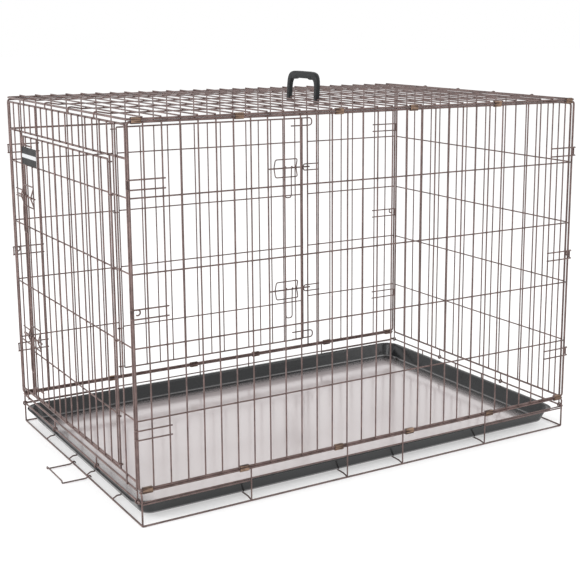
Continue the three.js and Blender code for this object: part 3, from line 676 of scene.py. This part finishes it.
def doors():
    """Both doors and their four bolts."""
    for name, face, grid, hinge, free, bolts, curl, layer in (
            ("side", "far", SIDE_GRID, SIDE_HINGE, SIDE_FREE, SIDE_BOLT_Z, SIDE_CURL, CURL_LAYER),
            ("end", "left", END_GRID, END_HINGE, END_FREE, END_BOLT_Z, END_CURL, 0)):
        place(f"{name}_door_wires", stand(door_wires(grid, hinge, free, bolts, curl, layer), face),
              f"{name}_door_body", [f"{name}_door"], BRONZE)
        for level, height in zip(("upper", "lower"), bolts):
            place(f"{name}_bolt_{level}_wires", stand(bolt_wires(free, height), face),
                  f"{name}_bolt_{level}", [f"{name}_door_bolt_{level}"], BRONZE)


# ---- Lid ----

def lid():
    """Top panel: edge wire, four lengthwise wires hooked over the left end, cross wires on top."""
    z = LID_RAIL
    up = z + OUTER
    parts = [loop([[-HALF_L, -HALF_W, z], [HALF_L, -HALF_W, z], [HALF_L, HALF_W, z], [-HALF_L, HALF_W, z]],
                  FRAME_R, FRAME_BEND, closed=True)]
    sides = (np.arange(4) - 1.5) * 2 * HALF_W / 5
    for y in sides:
        parts.append(tube(bent([[-HALF_L - 8.4, y, z - 10], [-HALF_L - 8.4, y, z + 4.6], [-HALF_L, y, z + 5],
                                [-HALF_L + 24, y, z + 0.6], [HALF_L - 14, y, z + 0.6],
                                [HALF_L, y, z + 4.2], [HALF_L + 4.2, y, z + 1]], 4), FIELD_R))
    marks = np.array([-HALF_W, *sides, HALF_W]) + HALF_W + 3
    for x in SIDE_GRID:
        parts.append(straight([x, -HALF_W - 3, up], [x, HALF_W + 3, up], FIELD_R, marks))
    return place("lid_wires", parts, "lid", ["top_panel"], BRONZE)


# ---- Base ----

def base():
    """Wire base: lower and upper rails, corner posts, cross wires under the pan, runners, hinge rails."""
    parts = []
    low, meet = FRAME_R, BASE_RAIL + BASE_MEET
    for s in (-1, 1):
        y, inside = s * BASE_Y, s * (BASE_Y - 3.4)
        parts += [
            straight([-BASE_X, y, low], [BASE_X, y, low], FRAME_R - 0.5),
            straight([-HALF_L - 3, inside, UPPER_RAIL], [HALF_L + 3, inside, UPPER_RAIL], FIELD_R),
            straight([-HALF_L, s * HALF_W, meet], [HALF_L, s * HALF_W, meet], FRAME_R),
            straight([s * BASE_X, -BASE_Y, low], [s * BASE_X, BASE_Y, low], FRAME_R - 0.5),
            straight([s * HALF_L, -BASE_Y, HINGE_Z], [s * HALF_L, BASE_Y, HINGE_Z], HINGE_R),
        ]
        for t in (-1, 1):
            x, y = s * BASE_X, t * BASE_Y
            parts.append(loop([[x, t * (BASE_Y - 4), BASE_RAIL], [x, y, BASE_RAIL - 6],
                               [x, y, 2.2], [s * (BASE_X - 9), y, 2.2]], POST_R, 3))
            # the stretch at each end where a second wire runs along the upper rail
            parts.append(straight([x, y, 49.8], [s * 330, y, 49.8], FIELD_R))
        for at in CROSS_X:
            x = s * at
            parts.append(loop([[x, -HALF_W - 4, BASE_RAIL + 1], [x, -BASE_Y - 0.5, BASE_RAIL - 7],
                               [x, -BASE_Y - 0.5, 3.2], [x, -BASE_Y + 16, 6.6], [x, BASE_Y - 16, 6.6],
                               [x, BASE_Y + 0.5, 3.2], [x, BASE_Y + 0.5, BASE_RAIL - 7],
                               [x, HALF_W + 4, BASE_RAIL + 1]], FIELD_R, 4))
    for y in RUNNER_Y:
        parts.append(loop([[-BASE_X - 1, y, 3.4], [-BASE_X + 10, y, 9.3], [HALF_L - 2.6, y, 9.3],
                           [HALF_L - 2.6, y, HINGE_Z + 1]], FIELD_R, 6))
    return place("base_wires", parts, "shell", ["base_frame"], BRONZE)


def stop():
    """Pan stop: two eyes round the lower rail, two legs, and a cross wire bent up at the tip."""
    pivot, tip = -BASE_X, -BASE_X - 64
    eye_radius, left, right, raised = 4.9, -75, 29, 8.1
    root, bend = pivot - eye_radius, pivot - 9
    parts = [loop([[root, left, 3.4], [bend, left, 2.5], [tip, left, 2.5], [tip, left, raised],
                   [tip, right, raised], [tip, right, 2.5], [bend, right, 2.5], [root, right, 3.4]],
                  FIELD_R, 3)]
    for y in (left, right):
        around = ring_path([pivot, y, FRAME_R], eye_radius, "y", 12, start=-0.25, turn=0.5)
        parts.append(tube(around, FIELD_R))
    return place("pan_stop_wires", parts, "stop", ["tray_stop"], BRONZE)


# ---- Clips ----

def clip_band(x, y, outward, low, high, length):
    """A folded clip: a C of sheet round two rails, as a closed outline carried along x.

    The outline is the C's middle line, bent at its corners, moved half the sheet's thickness to each
    side of itself.
    """
    half, reach = CLIP_HALF, (high - low) / 2 + CLIP_HALF
    middle = (low + high) / 2
    core = bent([[0, -half, -reach + CLIP_LIP], [0, -half, -reach], [0, half, -reach], [0, half, reach],
                 [0, -half, reach], [0, -half, reach - CLIP_LIP]], CLIP_LIP)[:, 1:]
    ahead = unit(np.gradient(core, axis=0))
    across = np.column_stack([ahead[:, 1], -ahead[:, 0]])
    outline = np.concatenate([core + CLIP_SHEET * across, (core - CLIP_SHEET * across)[::-1]])
    n, count = len(outline), 6
    s = np.array([-0.5, -0.48, -0.15, 0.15, 0.48, 0.5]) * length
    swell = np.array([0.97, 1.0, 1.0, 1.0, 1.0, 0.97])
    ring = np.zeros((count, n, 3))
    ring[..., 0] = x + s[:, None]
    ring[..., 1] = y + outward * outline[None, :, 0] * swell[:, None]
    ring[..., 2] = middle + outline[None, :, 1] * swell[:, None]
    i, j = np.arange(count - 1)[:, None], np.arange(n)[None, :]
    k = (j + 1) % n
    quads = np.stack([i * n + j, i * n + k, (i + 1) * n + k, (i + 1) * n + j], -1).reshape(-1, 4)
    half_n = n // 2
    a = np.arange(half_n - 1)
    cap = np.stack([a, a + 1, n - 2 - a, n - 1 - a], -1)
    caps = [*cap[:, ::-1], *(cap + (count - 1) * n)]
    if outward < 0:
        quads, caps = quads[:, ::-1], [c[::-1] for c in caps]
    return ring.reshape(-1, 3), quads[:, ::-1], [c[::-1] for c in caps]


def clips():
    """The three rows of six clips."""
    for name, y, out, low, high, length in (
            ("near_base_clip", -HALF_W, -1, BASE_RAIL + BASE_MEET, SIDE_BOTTOM - BASE_MEET, BASE_CLIP_LENGTH),
            ("far_base_clip", HALF_W, 1, BASE_RAIL + BASE_MEET, SIDE_BOTTOM - BASE_MEET, BASE_CLIP_LENGTH),
            ("top_hinge_clip", -HALF_W, -1, SIDE_TOP + LID_MEET, LID_RAIL, TOP_CLIP_LENGTH)):
        parts = [clip_band(s * x, y, out, low, high, length) for x in CLIP_X for s in (-1, 1)]
        place(f"{name}_bands", parts, "shell", [f"{name}_{i}" for i in range(1, 7)], CLIP)


# ---- Pan ----

def pan():
    """Pan: rings of a rounded rectangle from the middle of the floor, up the wall, over the lip and
    back down outside, closed under the floor.
    """
    low, high = tray_low * 1000, tray_high * 1000
    cx, cy = (low.x + high.x) / 2 - SHIFT[0], (low.y + high.y) / 2 - SHIFT[1]
    hx, hy = (high.x - low.x) / 2, (high.y - low.y) / 2
    bottom, top = low.z, high.z
    # (inset from the rim, height, corner radius) from the floor's middle outward and round
    section = [(120, bottom + 2.9, 8), (40, bottom + 2.7, 12), (34, bottom + 2.6, 16), (30, bottom + 2.8, 20),
               (27.2, bottom + 4.0, 22), (25.4, bottom + 7.5, 24), (20, bottom + 21, 27), (14, top - 4.5, 31),
               (12.6, top - 1.2, 33), (11, top - 0.1, 34), (8, top, 36), (1.4, top, 42), (0.3, top - 0.5, 43),
               (0, top - 1.6, 43), (0.5, top - 2.5, 43), (2, top - 2.7, 42), (8.6, top - 2.8, 36),
               (9.6, top - 3.4, 35), (10.4, top - 5, 34), (17, bottom + 19, 30), (22.6, bottom + 6, 26),
               (24, bottom + 2.2, 25), (26, bottom + 0.5, 23), (29, bottom, 20), (120, bottom, 8)]
    inset, height, corner = (np.array(c, float)[:, None] for c in zip(*section))
    along, across = rounded_rings(hx, hy, inset, corner, steps=12)
    n = along.shape[1]
    skin = np.zeros((len(section), n, 3))
    skin[..., 0] = cx + along
    skin[..., 1] = cy + across
    skin[..., 2] = height
    i, j = np.arange(len(section) - 1)[:, None], np.arange(n)[None, :]
    quads = np.stack([i * n + j, (i + 1) * n + j, (i + 1) * n + (j + 1) % n, i * n + (j + 1) % n], -1)
    caps = [np.arange(n), (len(section) - 1) * n + np.arange(n)[::-1]]
    return place("pan_shell", [(skin.reshape(-1, 3), quads.reshape(-1, 4), caps)], "pan", ["tray"],
                 PAN)


# ---- Handle and plate ----

def handle():
    """Carry handle: an arch between two closed curves, outer and inner, moulded 11 mm deep.

    Outer curve: a superellipse of power 6, half 71 wide. Inner: the same kind, half 58.5 wide and 17
    lower, with four finger bumps 2.6 mm deep as a sine along its top. The arch leans by 0.065.
    """
    low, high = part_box("carry_handle")
    cx, cy = (low.x + high.x) * 500 - SHIFT[0], (low.y + high.y) * 500 - SHIFT[1]
    foot, top = low.z * 1000 - 3, high.z * 1000
    t = np.linspace(0, np.pi, 81)

    def superellipse(power, half, height):
        return np.column_stack([half * np.sign(np.cos(t)) * np.abs(np.cos(t)) ** (2 / power),
                                height * np.abs(np.sin(t)) ** (2 / power)])

    outer, inside = superellipse(6, 71, top - foot), superellipse(7, 58.5, top - foot - 17)
    grip = (np.abs(inside[:, 0]) < 46) * (inside[:, 1] > 30)
    inside[:, 1] -= grip * 1.3 * (1 - np.cos(inside[:, 0] / 92 * 2 * np.pi * 4))
    layers = [(-5.5, -2.2), (-5.0, -0.8), (-3.4, 0.0), (3.4, 0.0), (5.0, -0.8), (5.5, -2.2)]
    n, count = len(t), len(layers)
    middle = (outer + inside) / 2
    out_way, in_way = unit(outer - middle), unit(inside - middle)
    skins = []
    for depth, grow in layers:
        for curve, way in ((outer, out_way), (inside, in_way)):
            flat = curve + way * grow
            rise = np.maximum(flat[:, 1], 0)
            skins.append(np.column_stack([cx + depth + 0.065 * rise, cy + flat[:, 0], foot + rise]))
    skin = np.concatenate(skins)

    def at(layer, which):
        return (2 * layer + which) * n + np.arange(n)

    quads = []
    for layer in range(count - 1):
        for which, flip in ((0, False), (1, True)):
            a, b = at(layer, which), at(layer + 1, which)
            q = np.stack([a[:-1], b[:-1], b[1:], a[1:]], -1)
            quads.append(q[:, ::-1] if flip else q)
        for end in (0, n - 1):
            a, b = at(layer, 0)[end], at(layer, 1)[end]
            c, d = at(layer + 1, 0)[end], at(layer + 1, 1)[end]
            q = np.array([[a, b, d, c]])
            quads.append(q if end == 0 else q[:, ::-1])
    for layer, flip in ((0, False), (count - 1, True)):
        a, b = at(layer, 0), at(layer, 1)
        q = np.stack([a[:-1], a[1:], b[1:], b[:-1]], -1)
        quads.append(q[:, ::-1] if flip else q)
    return place("carry_handle_grip", [(skin, np.concatenate(quads), [])], "handle", ["carry_handle"],
                 GRIP)


def plate():
    """Blank name plate: a rounded rectangle in rings, its rim standing a little proud of its face."""
    low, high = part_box("name_plate")
    cy, cz = (low.y + high.y) * 500 - SHIFT[1], (low.z + high.z) * 500
    hy, hz = (high.y - low.y) * 500, (high.z - low.z) * 500
    back, front = high.x * 1000 - SHIFT[0], low.x * 1000 - SHIFT[0]
    # (inset, how far forward as a share of the thickness, corner radius)
    section = [(8, 0.6, 1), (3.2, 0.6, 1.5), (2.6, 1.0, 2), (0.6, 1.0, 3.6), (0, 0.7, 4), (0, 0.1, 4),
               (0.4, 0, 3.6), (8, 0, 1)]
    inset, forward, corner = (np.array(c, float)[:, None] for c in zip(*section))
    across, up = rounded_rings(hy, hz, inset, corner, steps=6)
    n = across.shape[1]
    skin = np.zeros((len(section), n, 3))
    skin[..., 0] = back + (front - back) * forward
    skin[..., 1] = cy + across
    skin[..., 2] = cz + up
    i, j = np.arange(len(section) - 1)[:, None], np.arange(n)[None, :]
    quads = np.stack([i * n + j, i * n + (j + 1) % n, (i + 1) * n + (j + 1) % n, (i + 1) * n + j], -1)
    caps = [np.arange(n)[::-1], (len(section) - 1) * n + np.arange(n)]
    return place("blank_plate", [(skin.reshape(-1, 3), quads.reshape(-1, 4), caps)], "end_door_body",
                 ["name_plate"], PLATE, smooth=False)


near_side()
far_side()
right_end()
left_end()
doors()
lid()
base()
stop()
clips()
pan()
handle()
plate()


# ---- Studio ----

def studio():
    """Pale floor that glows a little, white surroundings and three soft lights."""
    scene = bpy.context.scene
    scene.view_settings.view_transform = "Standard"
    world = bpy.data.worlds.new("Studio")
    scene.world = world
    world.use_nodes = True
    world.node_tree.nodes["Background"].inputs["Color"].default_value = (1, 1, 1, 1)
    world.node_tree.nodes["Background"].inputs["Strength"].default_value = 1.0
    bpy.ops.mesh.primitive_plane_add(size=60, location=(0, 0, -0.0006))
    floor = bpy.context.object
    floor.name = "studio_floor"
    paint, tree, shader = new_material("Studio floor")
    shader.inputs["Base Color"].default_value = (0.62, 0.62, 0.62, 1)
    shader.inputs["Emission Color"].default_value = (1, 1, 1, 1)
    shader.inputs["Emission Strength"].default_value = 0.42
    shader.inputs["Roughness"].default_value = 0.9
    shader.inputs["Specular IOR Level"].default_value = 0.0
    floor.data.materials.append(paint)
    for name, place_at, turn, size, power in (
            ("key", (-2.2, -2.4, 3.0), (42, 0, -42), 2.2, 40),
            ("door end", (-3.2, 0.3, 1.1), (88, 0, -90), 2.0, 60),
            ("fill", (2.8, -1.6, 2.6), (48, 0, 58), 2.6, 25)):
        light = bpy.data.lights.new(name, "AREA")
        light.shape, light.size, light.energy = "SQUARE", size, power
        lamp = bpy.data.objects.new(name, light)
        lamp.location = place_at
        lamp.rotation_euler = Euler([math.radians(x) for x in turn])
        scene.collection.objects.link(lamp)


def camera():
    """The view: from low on the door end's near side, looking along the crate."""
    data = bpy.data.cameras.new("View")
    view = bpy.data.objects.new("View", data)
    azimuth, elevation, roll = math.radians(57.3264), math.radians(-11.3716), math.radians(0.17)
    ahead = Vector((math.cos(elevation) * math.cos(azimuth), math.cos(elevation) * math.sin(azimuth),
                    math.sin(elevation)))
    view.location = Vector((-1450.77, -2527.34, 1037.96)) / 1000 + Vector(SHIFT) / 1000
    turn = ahead.to_track_quat("-Z", "Y")
    view.rotation_euler = (turn.to_matrix() @ Euler((0, 0, roll)).to_matrix()).to_euler()
    data.lens, data.sensor_width = 72.29, 36
    data.shift_x, data.shift_y = -0.0988, -0.0608
    bpy.context.scene.collection.objects.link(view)
    bpy.context.scene.camera = view


studio()
camera()
